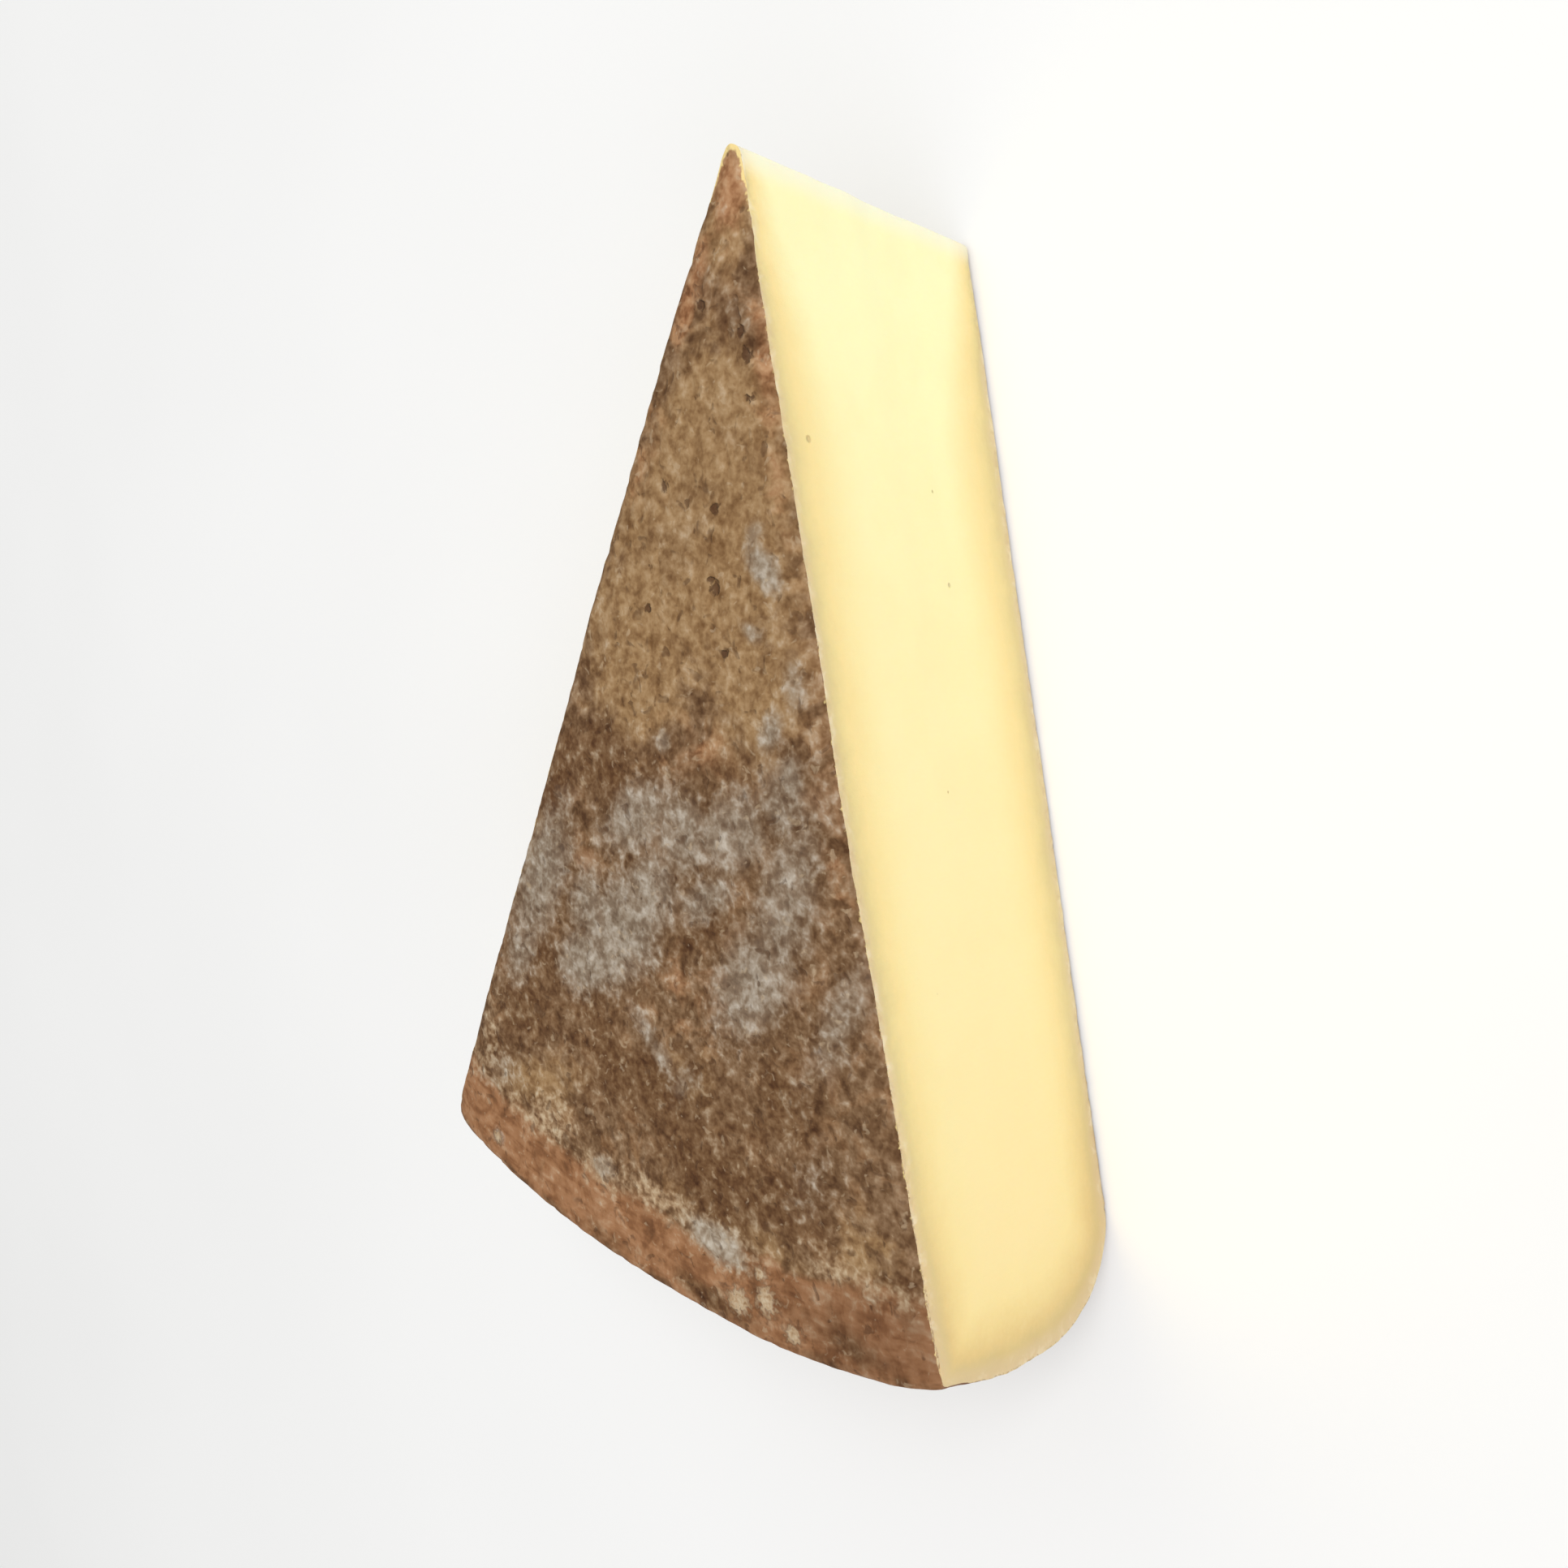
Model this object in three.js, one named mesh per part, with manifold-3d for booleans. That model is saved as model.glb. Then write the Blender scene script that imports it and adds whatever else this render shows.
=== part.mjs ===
// A wedge cut from a whole wheel of washed-rind cheese, lying on the wheel's flat lower face.
// Millimetres, +Z up. The wedge is built where it was cut, with the wheel's axis on the Z axis and
// the wedge's middle line along -X, and is then moved so that the origin is under the middle of its box.
import * as THREE from "three";
import { mergeVertices } from "three/addons/utils/BufferGeometryUtils.js";
import Module from "manifold-3d";

// The whole wheel.
const WHEEL_RADIUS = 180; // axis to the widest line of the rim
const RIM_HEIGHT = 54; // lower face to the shoulder
const DOME_RISE = 5.2; // how far the upper face rises from the shoulder to the axis
const DOME_EXPONENT = 1.6; // 1 would be a cone, 2 a bowl
const WIDEST_HEIGHT = 21.6; // lower face to the widest line of the rim
const SHOULDER_INSET = 6.7; // how far the rim leans in above its widest line
const SHOULDER_EXPONENT = 1.3; // 1 would be a straight slope, 2 an ellipse
const FOOT_INSET = 13; // how far the rim curls in below its widest line
const FOOT_EXPONENT = 1.9;

// The wedge.
const WEDGE_ANGLE = THREE.MathUtils.degToRad(36); // between the two cut faces
const NOSE_RADIUS = 1.65; // the soft point, which the cutter leaves rounded

// How finely the curves are divided.
const WHEEL_SEGMENTS = 225;
const RIM_STEPS = 9;
const DOME_STEPS = 8;
const NOSE_STEPS = 6;

const RIND = { color: 0x8a6446, roughness: 0.85, metalness: 0 };

const WASM = await Module();
WASM.setup();

// Quarter of a superellipse, from (1, 0) at step 0 to (0, 1) at the last step.
function superellipse(step, steps, exponent) {
  const angle = ((step / steps) * Math.PI) / 2;
  const across = Math.max(Math.cos(angle), 0) ** (2 / exponent);
  const along = Math.sin(angle) ** (2 / exponent);
  return [step === steps ? 0 : across, along];
}

// Half of the wheel's section, from the axis out along the lower face, up the rim and back over the dome.
function wheelProfile() {
  const profile = [new THREE.Vector2(0, 0)];
  for (let step = RIM_STEPS; step >= 0; step--) {
    const [up, out] = superellipse(RIM_STEPS - step, RIM_STEPS, FOOT_EXPONENT);
    profile.push(
      new THREE.Vector2(WHEEL_RADIUS - FOOT_INSET * (1 - out), WIDEST_HEIGHT * (1 - up)),
    );
  }
  for (let step = 1; step <= RIM_STEPS; step++) {
    const [out, up] = superellipse(step, RIM_STEPS, SHOULDER_EXPONENT);
    const height = WIDEST_HEIGHT + (RIM_HEIGHT - WIDEST_HEIGHT) * up;
    profile.push(new THREE.Vector2(WHEEL_RADIUS - SHOULDER_INSET * (1 - out), height));
  }
  for (let step = DOME_STEPS - 1; step >= 0; step--) {
    const share = step / DOME_STEPS;
    const radius = (WHEEL_RADIUS - SHOULDER_INSET) * share;
    profile.push(new THREE.Vector2(radius, RIM_HEIGHT + DOME_RISE * (1 - share ** DOME_EXPONENT)));
  }
  return profile;
}

// The whole wheel, standing on its lower face with its axis on Z.
function wholeWheel() {
  const wheel = new THREE.LatheGeometry(wheelProfile(), WHEEL_SEGMENTS);
  return wheel.rotateX(Math.PI / 2);
}

// What the two cuts leave: a prism with a rounded point, well clear of the wheel outside and above.
function wedgeCutter() {
  const half = WEDGE_ANGLE / 2;
  const reach = (1.2 * WHEEL_RADIUS) / Math.cos(half);
  const noseCentre = -NOSE_RADIUS / Math.sin(half);
  const outline = new THREE.Shape();
  outline.moveTo(-reach * Math.cos(half), reach * Math.sin(half));
  outline.lineTo(-reach * Math.cos(half), -reach * Math.sin(half));
  outline.absarc(noseCentre, 0, NOSE_RADIUS, half - Math.PI / 2, Math.PI / 2 - half, false);
  outline.closePath();
  const margin = 10;
  const cutter = new THREE.ExtrudeGeometry(outline, {
    depth: RIM_HEIGHT + DOME_RISE + 2 * margin,
    bevelEnabled: false,
    curveSegments: NOSE_STEPS,
  });
  return cutter.translate(0, 0, -margin);
}

// A geometry with only merged positions left, as a solid that can be cut.
function solidOf(geometry) {
  geometry.deleteAttribute("normal");
  geometry.deleteAttribute("uv");
  const merged = mergeVertices(geometry, 1e-4);
  return new WASM.Manifold(
    new WASM.Mesh({
      numProp: 3,
      vertProperties: merged.attributes.position.array,
      triVerts: new Uint32Array(merged.index.array),
    }),
  );
}

// A cut solid's surface, back as a geometry.
function geometryOf(solid) {
  const mesh = solid.getMesh();
  const geometry = new THREE.BufferGeometry();
  geometry.setAttribute("position", new THREE.BufferAttribute(mesh.vertProperties, 3));
  geometry.setIndex(new THREE.BufferAttribute(mesh.triVerts, 1));
  geometry.computeVertexNormals();
  return geometry;
}

const wedgeGeometry = geometryOf(solidOf(wholeWheel()).intersect(solidOf(wedgeCutter())));
wedgeGeometry.computeBoundingBox();
const middle = wedgeGeometry.boundingBox.getCenter(new THREE.Vector3());

const wedge = new THREE.Mesh(wedgeGeometry, new THREE.MeshStandardMaterial(RIND));
wedge.name = "cheese_wedge";
wedge.position.set(-middle.x, -middle.y, 0);

const part = new THREE.Group();
part.add(wedge);

export default part;
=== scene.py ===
"""A wedge cut from a wheel of washed-rind cheese: its fine surface, materials, light and camera."""

import math
from itertools import product

import bpy
import numpy as np
from mathutils import Matrix, Vector


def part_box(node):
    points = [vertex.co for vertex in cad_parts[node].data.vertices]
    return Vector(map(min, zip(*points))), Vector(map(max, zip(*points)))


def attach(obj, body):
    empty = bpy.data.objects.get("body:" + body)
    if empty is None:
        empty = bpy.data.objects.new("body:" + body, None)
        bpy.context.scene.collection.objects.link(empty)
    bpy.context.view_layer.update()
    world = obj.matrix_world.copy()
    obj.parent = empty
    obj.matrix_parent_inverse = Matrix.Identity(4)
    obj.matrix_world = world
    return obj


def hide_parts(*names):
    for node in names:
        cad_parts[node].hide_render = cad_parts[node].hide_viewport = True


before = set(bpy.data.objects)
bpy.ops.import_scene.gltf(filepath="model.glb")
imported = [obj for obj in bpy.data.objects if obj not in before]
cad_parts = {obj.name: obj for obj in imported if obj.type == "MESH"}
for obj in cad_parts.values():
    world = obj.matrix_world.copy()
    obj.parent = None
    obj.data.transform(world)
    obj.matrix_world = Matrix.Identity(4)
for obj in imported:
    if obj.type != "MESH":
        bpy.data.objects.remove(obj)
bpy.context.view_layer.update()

# ---------------------------------------------------------------------------
# Sizes, in millimetres. The wheel's axis is at the origin while the surface is made, with the wedge along -X.
# ---------------------------------------------------------------------------

WHEEL_RADIUS = 180.0
RIM_HEIGHT = 54.0
DOME_RISE = 5.2
DOME_EXPONENT = 1.6
WIDEST_HEIGHT = 21.6
SHOULDER_INSET = 6.7
SHOULDER_EXPONENT = 1.3
FOOT_INSET = 13.0
FOOT_EXPONENT = 1.9
HALF_ANGLE = math.radians(18)
NOSE_RADIUS = 1.65

SHOULDER_RADIUS = WHEEL_RADIUS - SHOULDER_INSET
FOOT_RADIUS = WHEEL_RADIUS - FOOT_INSET
NOSE_CENTRE = NOSE_RADIUS / math.sin(HALF_ANGLE)
MM = 0.001

# Mesh divisions.
FACE_STEPS = 208  # from the point to the rim, on both wheel faces
RIM_STEPS = 70  # up the rim, and up both cut faces
TURN_STEPS = 122  # from one cut face to the other
CURVE_POINTS = 200  # on each curve of the exact rim
RIM_POINTS = 600  # on the exact rim, before it is softened
OUTLINE_POINTS = 1500  # on the line of rind round a cut face, to measure depth from
SHARP_ANGLE = math.radians(48)

RUN_IN = 4.0  # how much of each wheel face is smoothed together with the rim
EDGE_SOFTNESS = 0.6  # how far the shoulder and foot are worn round
EDGE_WEAR = 0.20  # how far the rind is worn in along the cut faces
CORNER_WEAR = 1.4  # how far the heel's corners are worn in
SHOULDER_LEVEL = 0.90  # where the shoulder is up the rim's rows, from 0 to 1
FOOT_LEVEL = 0.12  # where the foot is
CORNER_SPREAD = 0.12  # how far up and down the rows a corner's wear spreads
DRAWN_IN = 0.45  # how far the lower face is drawn in, so that it rests on its highest lumps

# The wheel's axis in the row's frame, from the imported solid.
box_low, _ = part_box("cheese_wedge")
AXIS_X = box_low.x / MM + WHEEL_RADIUS


# ---------------------------------------------------------------------------
# Noise
# ---------------------------------------------------------------------------

# Large odd numbers that turn a cell's place into a random-looking number.
CELL_FACTORS = (374761393, 668265263, 2147483647)
SEED_FACTOR = 144269
SCRAMBLE_FACTOR = 1274126177

OCTAVE_SHIFT = 17.3  # moves each finer layer, so that the layers' cells don't line up
OCTAVE_WEIGHT = 0.55  # how strong each finer layer is beside the one before


def lattice(cells, seed):
    """One number from -1 to 1 for each whole-number cell."""
    mixed = sum(cells[..., k] * factor for k, factor in enumerate(CELL_FACTORS)) + seed * SEED_FACTOR
    mixed = (mixed ^ (mixed >> 13)) * SCRAMBLE_FACTOR
    mixed = mixed ^ (mixed >> 16)
    return (mixed & 0xFFFFF) / 0x80000 - 1.0


def noise(points, size, seed, octaves=1):
    """Smooth noise over points, with features about size across, from about -1 to 1."""
    total = np.zeros(points.shape[:-1])
    for octave in range(octaves):
        where = points / size * 2**octave + OCTAVE_SHIFT * octave
        cell = np.floor(where).astype(np.int64)
        part = where - cell
        ease = part * part * part * (part * (part * 6 - 15) + 10)
        layer = np.zeros(points.shape[:-1])
        for corner in product((0, 1), repeat=3):
            share = np.prod(np.where(corner, ease, 1 - ease), axis=-1)
            layer += share * lattice(cell + corner, seed + octave)
        total += layer * OCTAVE_WEIGHT**octave
    return total


def step(value, low, high):
    """0 below low, 1 above high and a smooth rise between."""
    share = np.clip((value - low) / (high - low), 0, 1)
    return share * share * (3 - 2 * share)


def bell(value, width):
    """1 at 0, and fading to both sides over about the width."""
    return np.exp(-((value / width) ** 2))


def patches(along, side, spots):
    """The strongest of a list of soft oval spots at each place.

    A spot is (along, side, length, width, turn in degrees, strength).
    """
    total = np.zeros(along.shape)
    for x, y, length, width, turn, strength in spots:
        c, s = math.cos(math.radians(turn)), math.sin(math.radians(turn))
        u = ((along - x) * c + (side - y) * s) / length
        v = ((side - y) * c - (along - x) * s) / width
        total = np.maximum(total, strength * np.exp(-(u * u + v * v)))
    return total


# ---------------------------------------------------------------------------
# The wheel's section
# ---------------------------------------------------------------------------


def dome(radius):
    """The upper face's height at a radius."""
    share = np.clip(radius / SHOULDER_RADIUS, 0, 1)
    return RIM_HEIGHT + DOME_RISE * (1 - share**DOME_EXPONENT)


def resample(path, count):
    """count + 1 points at equal distances along a path."""
    gaps = np.linalg.norm(np.diff(path, axis=0), axis=1)
    travelled = np.concatenate([[0], np.cumsum(gaps)])
    wanted = np.linspace(0, travelled[-1], count + 1)
    return np.stack([np.interp(wanted, travelled, path[:, k]) for k in range(2)], axis=1)


def exact_rim():
    """The rim with a little of both wheel faces, from the lower face up, as (radius, height)."""
    turn = np.linspace(0, math.pi / 2, CURVE_POINTS)
    cos, sin = np.cos(turn).clip(0), np.sin(turn).clip(0)
    foot_radius = FOOT_RADIUS + FOOT_INSET * sin ** (2 / FOOT_EXPONENT)
    foot_height = WIDEST_HEIGHT * (1 - cos ** (2 / FOOT_EXPONENT))
    slope_radius = SHOULDER_RADIUS + SHOULDER_INSET * cos ** (2 / SHOULDER_EXPONENT)
    slope_height = WIDEST_HEIGHT + (RIM_HEIGHT - WIDEST_HEIGHT) * sin ** (2 / SHOULDER_EXPONENT)
    inwards = np.linspace(0, RUN_IN, 20)[1:]
    stretches = [
        (FOOT_RADIUS - inwards[::-1], 0 * inwards),
        (foot_radius, foot_height),
        (slope_radius[1:], slope_height[1:]),
        (SHOULDER_RADIUS - inwards, dome(SHOULDER_RADIUS - inwards)),
    ]
    return resample(np.concatenate([np.stack(stretch, 1) for stretch in stretches]), RIM_POINTS)


def softened(path):
    """A path of equal steps with its corners worn round."""
    spacing = np.linalg.norm(path[1] - path[0])
    reach = int(3 * EDGE_SOFTNESS / spacing)
    weights = np.exp(-0.5 * (np.arange(-reach, reach + 1) * spacing / EDGE_SOFTNESS) ** 2)
    weights /= weights.sum()
    before = path[0] + (path[0] - path[reach:0:-1])
    after = path[-1] + (path[-1] - path[-2 : -reach - 2 : -1])
    padded = np.concatenate([before, path, after])
    soft = np.stack([np.convolve(padded[:, k], weights, "valid") for k in range(2)], 1)
    soft[:, 1] = soft[:, 1].clip(0)
    return soft


def nose_radius(turn):
    """How far from the wheel's axis the wedge starts, in the direction turn from its middle line."""
    side = (NOSE_CENTRE * np.sin(turn)) ** 2
    return NOSE_CENTRE * np.cos(turn) - np.sqrt(np.maximum(NOSE_RADIUS**2 - side, 0))


# ---------------------------------------------------------------------------
# The rind: lower face, rim and upper face as one sheet. Its rows go from the point's lower edge round the
# heel to the point's upper edge, and its columns from one cut face to the other.
# ---------------------------------------------------------------------------


def rind_sheet():
    """The smooth rind: each vertex's radius, height and turn from the middle line."""
    turn = np.linspace(-HALF_ANGLE, HALF_ANGLE, TURN_STEPS + 1)
    start = nose_radius(turn)
    rim = resample(softened(exact_rim()), RIM_STEPS)
    share = np.linspace(0, 1, FACE_STEPS + 1)[:, None]
    lower = start + (rim[0, 0] - start) * share
    upper = start + (rim[-1, 0] - start) * share[::-1]
    rim_radius = np.repeat(rim[1:-1, :1], TURN_STEPS + 1, axis=1)
    rim_height = np.repeat(rim[1:-1, 1:], TURN_STEPS + 1, axis=1)
    radius = np.concatenate([lower, rim_radius, upper])
    height = np.concatenate([0 * lower, rim_height, dome(upper)])
    height[FACE_STEPS + RIM_STEPS] = rim[-1, 1]
    return radius, height, np.broadcast_to(turn, radius.shape)


def placed(radius, height, turn):
    """Points from their radius, height and turn."""
    return np.stack([-radius * np.cos(turn), radius * np.sin(turn), height], -1)


def sheet_normals(points):
    """The outward direction at each point of the sheet."""
    rows = np.gradient(points, axis=0)
    columns = np.gradient(points, axis=1)
    normal = np.cross(rows, columns)
    return normal / np.linalg.norm(normal, axis=-1, keepdims=True).clip(1e-9)


# Marks on the upper face: (along, side, length, width, turn in degrees, strength), in mm from the wheel's
# axis along the wedge's middle line and to the side.
TOP_BLOOM = [
    (104, -21, 20, 7, 10, 0.74),
    (117, -16, 12, 8, 30, 0.86),
    (90, -19, 8, 6, 0, 0.70),
    (96, -10, 10, 7, 60, 0.85),
    (98, -1, 9, 8, 0, 0.80),
    (98, 9, 11, 6, 55, 0.85),
    (107, -6, 8, 4, 50, 0.80),
    (110, 6, 11, 7, 30, 0.90),
    (117, 12, 13, 8, 42, 1.15),
    (124, 19, 8, 6, 58, 1.10),
    (115, 19, 8, 6, 0, 0.85),
    (108, 0, 26, 26, 0, 0.28),
    (113, 31, 17, 7, 20, 0.90),
    (126, 35, 10, 5, 20, 0.72),
    (117, -32, 16, 5, 18, 0.60),
    (132, 4, 9, 2.5, -50, 0.62),
    (137, -4, 7, 3, 30, 0.45),
    (143, -30, 10, 6, 18, 0.40),
    (58, -12, 4.5, 2.4, -50, 1.10),
    (54, -10, 3.0, 2.0, 0, 0.70),
    (67, -11, 3.0, 1.6, -60, 0.75),
    (80, -16, 3.5, 2.2, 20, 0.90),
    (86, -20, 5.0, 3.0, 0, 0.85),
    (73, -19, 5.0, 2.5, -18, 0.60),
    (85, 4, 2.4, 2.0, 0, 0.80),
    (13, 1, 4.0, 3.0, 0, 0.30),
    (21, 2, 5.0, 3.0, 0, 0.32),
    (26, -4, 5.0, 3.0, -15, 0.34),
    (164, 40, 1.5, 1.8, 0, 1.00),
    (160, -13, 3.0, 6.0, 8, 1.35),
    (151, 40, 5.0, 9, -22, 0.45),
    (158, 12, 2.6, 4.0, 0, 0.80),
]
TOP_GOLD = [
    (12, 0, 9, 6, 0, 0.95),
    (38, -2, 12, 14, 0, 1.0),
    (56, 0, 22, 20, 0, 1.1),
    (70, 10, 18, 14, 15, 1.0),
    (74, -12, 13, 10, 0, 0.80),
    (106, 34, 14, 3, 17, 0.55),
    (137, -6, 8, 8, 0, 0.50),
    (150, -40, 9, 8, 0, 0.55),
    (149, 30, 6, 14, -20, 0.70),
    (156, -18, 4, 22, 6, 0.60),
]
TOP_BLUSH = [
    (8, 0, 8, 5, 0, 1.0),
    (22, 5, 10, 2.5, 16, 0.95),
    (31, -9, 10, 2.2, -17, 0.95),
    (44, 12, 12, 4, 14, 0.50),
    (50, -14, 14, 2.5, -17, 0.38),
    (86, -2, 6, 8, 0, 0.60),
    (96, -28, 12, 3, -17, 0.45),
    (122, -3, 8, 11, 0, 0.45),
    (104, 18, 10, 5, 30, 0.25),
]
TOP_DARK = [
    (28, -4, 6, 4.0, -15, 0.80),
    (22, -1, 4, 2.5, 0, 0.50),
    (90, 17, 9, 11, 0, 0.80),
    (94, 27, 12, 5, 17, 0.85),
    (106, 24, 9, 5, 30, 0.60),
    (114, -4, 7, 1.8, 50, 1.2),
    (111, -9, 5, 1.2, 55, 0.9),
    (121, 3, 6, 2.0, 60, 0.9),
    (86, -9, 6, 7, 0, 0.50),
    (140, 4, 12, 30, 0, 0.85),
    (150, -14, 8, 18, 0, 1.00),
    (138, 34, 14, 10, 30, 0.85),
    (130, -24, 9, 8, 0, 0.80),
    (132, 16, 7, 9, 0, 0.80),
    (167, -42, 5, 14, 13, 1.00),
    (171, -14, 2.8, 14, 4, 0.95),
    (171, 14, 1.8, 14, -4, 0.60),
    (152, -46, 10, 3, -17, 0.6),
]
TOP_CRUST = [
    (160, -13, 3.4, 8, 8, 1.15),
    (159, 12, 3.4, 8, 0, 0.95),
    (155, 27, 5.0, 8, -15, 0.75),
    (151, 44, 5.0, 8, -20, 0.60),
    (158, 0, 3.2, 9, 0, 0.85),
    (154, -38, 5.0, 10, 14, 0.38),
    (144, 44, 9.0, 4, -17, 0.45),
]

# Small dark holes in the upper face: (along, side, size) in mm.
TOP_PITS = [
    (61.6, -3.7, 1.0),
    (60.9, -2.9, 0.7),
    (48.3, 7.5, 0.9),
    (50.8, -2.5, 0.8),
    (66.0, 9.0, 0.7),
    (30.5, -6.2, 0.9),
    (27.5, -5.0, 0.8),
    (24.0, 3.0, 0.8),
    (36.0, -7.5, 0.7),
    (70.5, -6.5, 0.6),
]

# Round spots of pale mould on the shoulder: (along, side, size) in mm.
SHOULDER_SPOTS = [
    (165.2, -23.2, 2.2),
    (167.8, -18.0, 2.3),
    (168.0, -28.8, 1.5),
    (161.6, -21.6, 1.2),
    (164.2, 40.2, 1.2),
]

# Marks on the rim, as on the upper face, in mm round it from the middle line and up.
RIM_BLOOM = [
    (-38, 33, 9, 6, 20, 0.8),
    (8, 40, 12, 5, -10, 0.9),
    (40, 18, 8, 7, 0, 0.8),
    (-12, 12, 7, 5, 0, 0.7),
]
RIM_GOLD = [
    (-20, 40, 16, 8, 0, 0.6),
    (28, 30, 14, 9, 0, 0.5),
]
RIM_DARK = [
    (-46, 20, 10, 12, 0, 0.8),
    (-6, 12, 22, 7, 5, 0.8),
    (34, 46, 18, 5, 0, 0.8),
    (20, 22, 12, 5, 0, 0.6),
]

CRUST_RADIUS = 158.6  # the pale ring of crust inside the shoulder
CRUST_WIDTH = 2.6
SHOULDER_COLOUR_START = 156.5  # where the shoulder's colour begins, and where it is full
SHOULDER_COLOUR_FULL = 164.0
SCATTER_REACH = 165.0  # how far from the axis the lower face's random spots go


def scattered(seed, count, sizes, strength):
    """Random soft spots over the wedge's plan, for the lower face, which has no listed ones."""
    chance = np.random.default_rng(seed)
    spots = []
    for _ in range(count):
        along = SCATTER_REACH * math.sqrt(chance.uniform(0.02, 1))
        side = along * math.tan(HALF_ANGLE) * chance.uniform(-1, 1)
        length = chance.uniform(*sizes)
        width = chance.uniform(*sizes) * 0.6
        turn = chance.uniform(-60, 60)
        spots.append((along, side, length, width, turn, strength * chance.uniform(0.6, 1)))
    return spots


def rind_masks(points, radius, height, turn, level):
    """How strongly each kind of rind shows at each vertex, from 0 to 1.

    level is 0 on the lower face, 1 on the upper face and between them on the rim.
    """
    along, side = radius * np.cos(turn), radius * np.sin(turn)
    around = turn * WHEEL_RADIUS
    on_top, below = step(level, 0.9, 1.0), 1 - step(level, 0.0, 0.1)
    on_rim = (1 - on_top) * (1 - below)

    def spread(top, rim, seed, count, sizes, strength):
        return (
            on_top * patches(along, side, top)
            + on_rim * patches(around, height, rim)
            + below * patches(along, side, scattered(seed, count, sizes, strength))
        )

    broken = 0.65 + 0.35 * noise(points, 9, 211, 2)
    ring = bell(radius - CRUST_RADIUS - 2.2 * noise(points, 12, 223), CRUST_WIDTH) * broken
    crust = np.maximum(on_top * patches(along, side, TOP_CRUST), (on_top + 0.6 * below) * 0.75 * ring)
    rim_shade = on_rim * (0.45 + 0.55 * step(level, 0.65, 0.90))
    uneven_radius = radius + 2.0 * noise(points, 10, 227, 2)
    inner_shade = step(uneven_radius, SHOULDER_COLOUR_START, SHOULDER_COLOUR_FULL) * (on_top + below)
    return {
        "bloom": spread(TOP_BLOOM, RIM_BLOOM, 5, 22, (4, 15), 1.0),
        "gold": spread(TOP_GOLD, RIM_GOLD, 6, 7, (14, 26), 1.0),
        "dark": spread(TOP_DARK, RIM_DARK, 7, 12, (8, 22), 0.9),
        "blush": spread(TOP_BLUSH, [], 8, 10, (5, 12), 0.6),
        "crust": crust,
        "shoulder": np.maximum(rim_shade, inner_shade),
    }


def rind_relief(points, masks, level):
    """How far each rind vertex stands out of the smooth wheel."""
    swell = 0.30 * noise(points, 30, 11, 2)
    lumps = 0.10 * noise(points, 7, 23, 2)
    grain = 0.075 * noise(points, 1.9, 37, 2)
    creases = -0.16 * step(1 - np.abs(noise(points, 5.5, 41, 2)), 0.86, 1.0)
    crust = 0.28 * masks["crust"] * noise(points, 2.6, 53, 2) + 0.10 * masks["crust"]
    bloom = 0.10 * masks["bloom"] * (1 + noise(points, 2.2, 61, 2))
    on_rim = step(level, 0.02, 0.2) * (1 - step(level, 0.8, 0.98))
    hoop = 0.10 * noise(points * np.array([0.12, 0.12, 1.0]), 2.6, 71, 2)
    grain *= 1 - 0.4 * on_rim
    creases *= 1 - 0.7 * on_rim
    return swell + lumps + grain + creases + crust + bloom + hoop * on_rim


def distance_to_cut(radius, turn):
    """How far a place on the rind is from the nearer cut face."""
    return radius * np.sin(HALF_ANGLE - np.abs(turn))


def worn_edges(points, radius, turn, level):
    """How far the rind is worn in by the cut faces: a little all along, more at the heel's corners."""
    to_cut = distance_to_cut(radius, turn)
    corner = bell(level - SHOULDER_LEVEL, CORNER_SPREAD) + 0.5 * bell(level - FOOT_LEVEL, CORNER_SPREAD)
    ragged = 0.07 * noise(points, 2.1, 307, 2) + 0.05 * noise(points, 6.0, 311)
    return (EDGE_WEAR + ragged) * np.exp(-to_cut / 0.6) + CORNER_WEAR * corner * np.exp(-to_cut / 3.0)


def build_rind(radius, height, turn):
    """The uneven rind's points, its masks, and the stretched places that its dashes are laid out in."""
    rows = np.arange(radius.shape[0])[:, None] * np.ones_like(radius)
    level = np.clip((rows - FACE_STEPS) / RIM_STEPS, 0, 1)
    points = placed(radius, height, turn)
    normals = sheet_normals(points)
    masks = rind_masks(points, radius, height, turn, level)
    relief = rind_relief(points, masks, level)
    past_nose = radius - nose_radius(turn)
    relief *= 0.25 + 0.75 * step(past_nose, 0, 3)
    relief -= worn_edges(points, radius, turn, level)
    resting = 1 - step(level, 0.0, 0.06)
    relief -= resting * (DRAWN_IN + np.maximum(relief - DRAWN_IN, 0))
    points = points + normals * relief[..., None]
    points[..., 2] = points[..., 2].clip(0)
    by_cut = distance_to_cut(radius, turn) + 0.7 * step(radius, 3, 16)
    masks["rubbed"] = np.minimum(past_nose / 1.6, by_cut)
    hoops = np.stack([turn * WHEEL_RADIUS / 4, radius, height], -1)
    return points, masks, hoops


# ---------------------------------------------------------------------------
# The paste: two cut faces and the soft point between them
# ---------------------------------------------------------------------------


def depth_under_rind(flat_points, outline):
    """The distance from each point of a cut face to the rind's line round it, in blocks to save memory."""
    block = 2000
    depth = np.empty(len(flat_points))
    for first in range(0, len(flat_points), block):
        some = flat_points[first : first + block]
        gaps = np.hypot(some[:, None, 0] - outline[None, :, 0], some[:, None, 1] - outline[None, :, 1])
        depth[first : first + block] = gaps.min(axis=1)
    return depth


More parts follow.
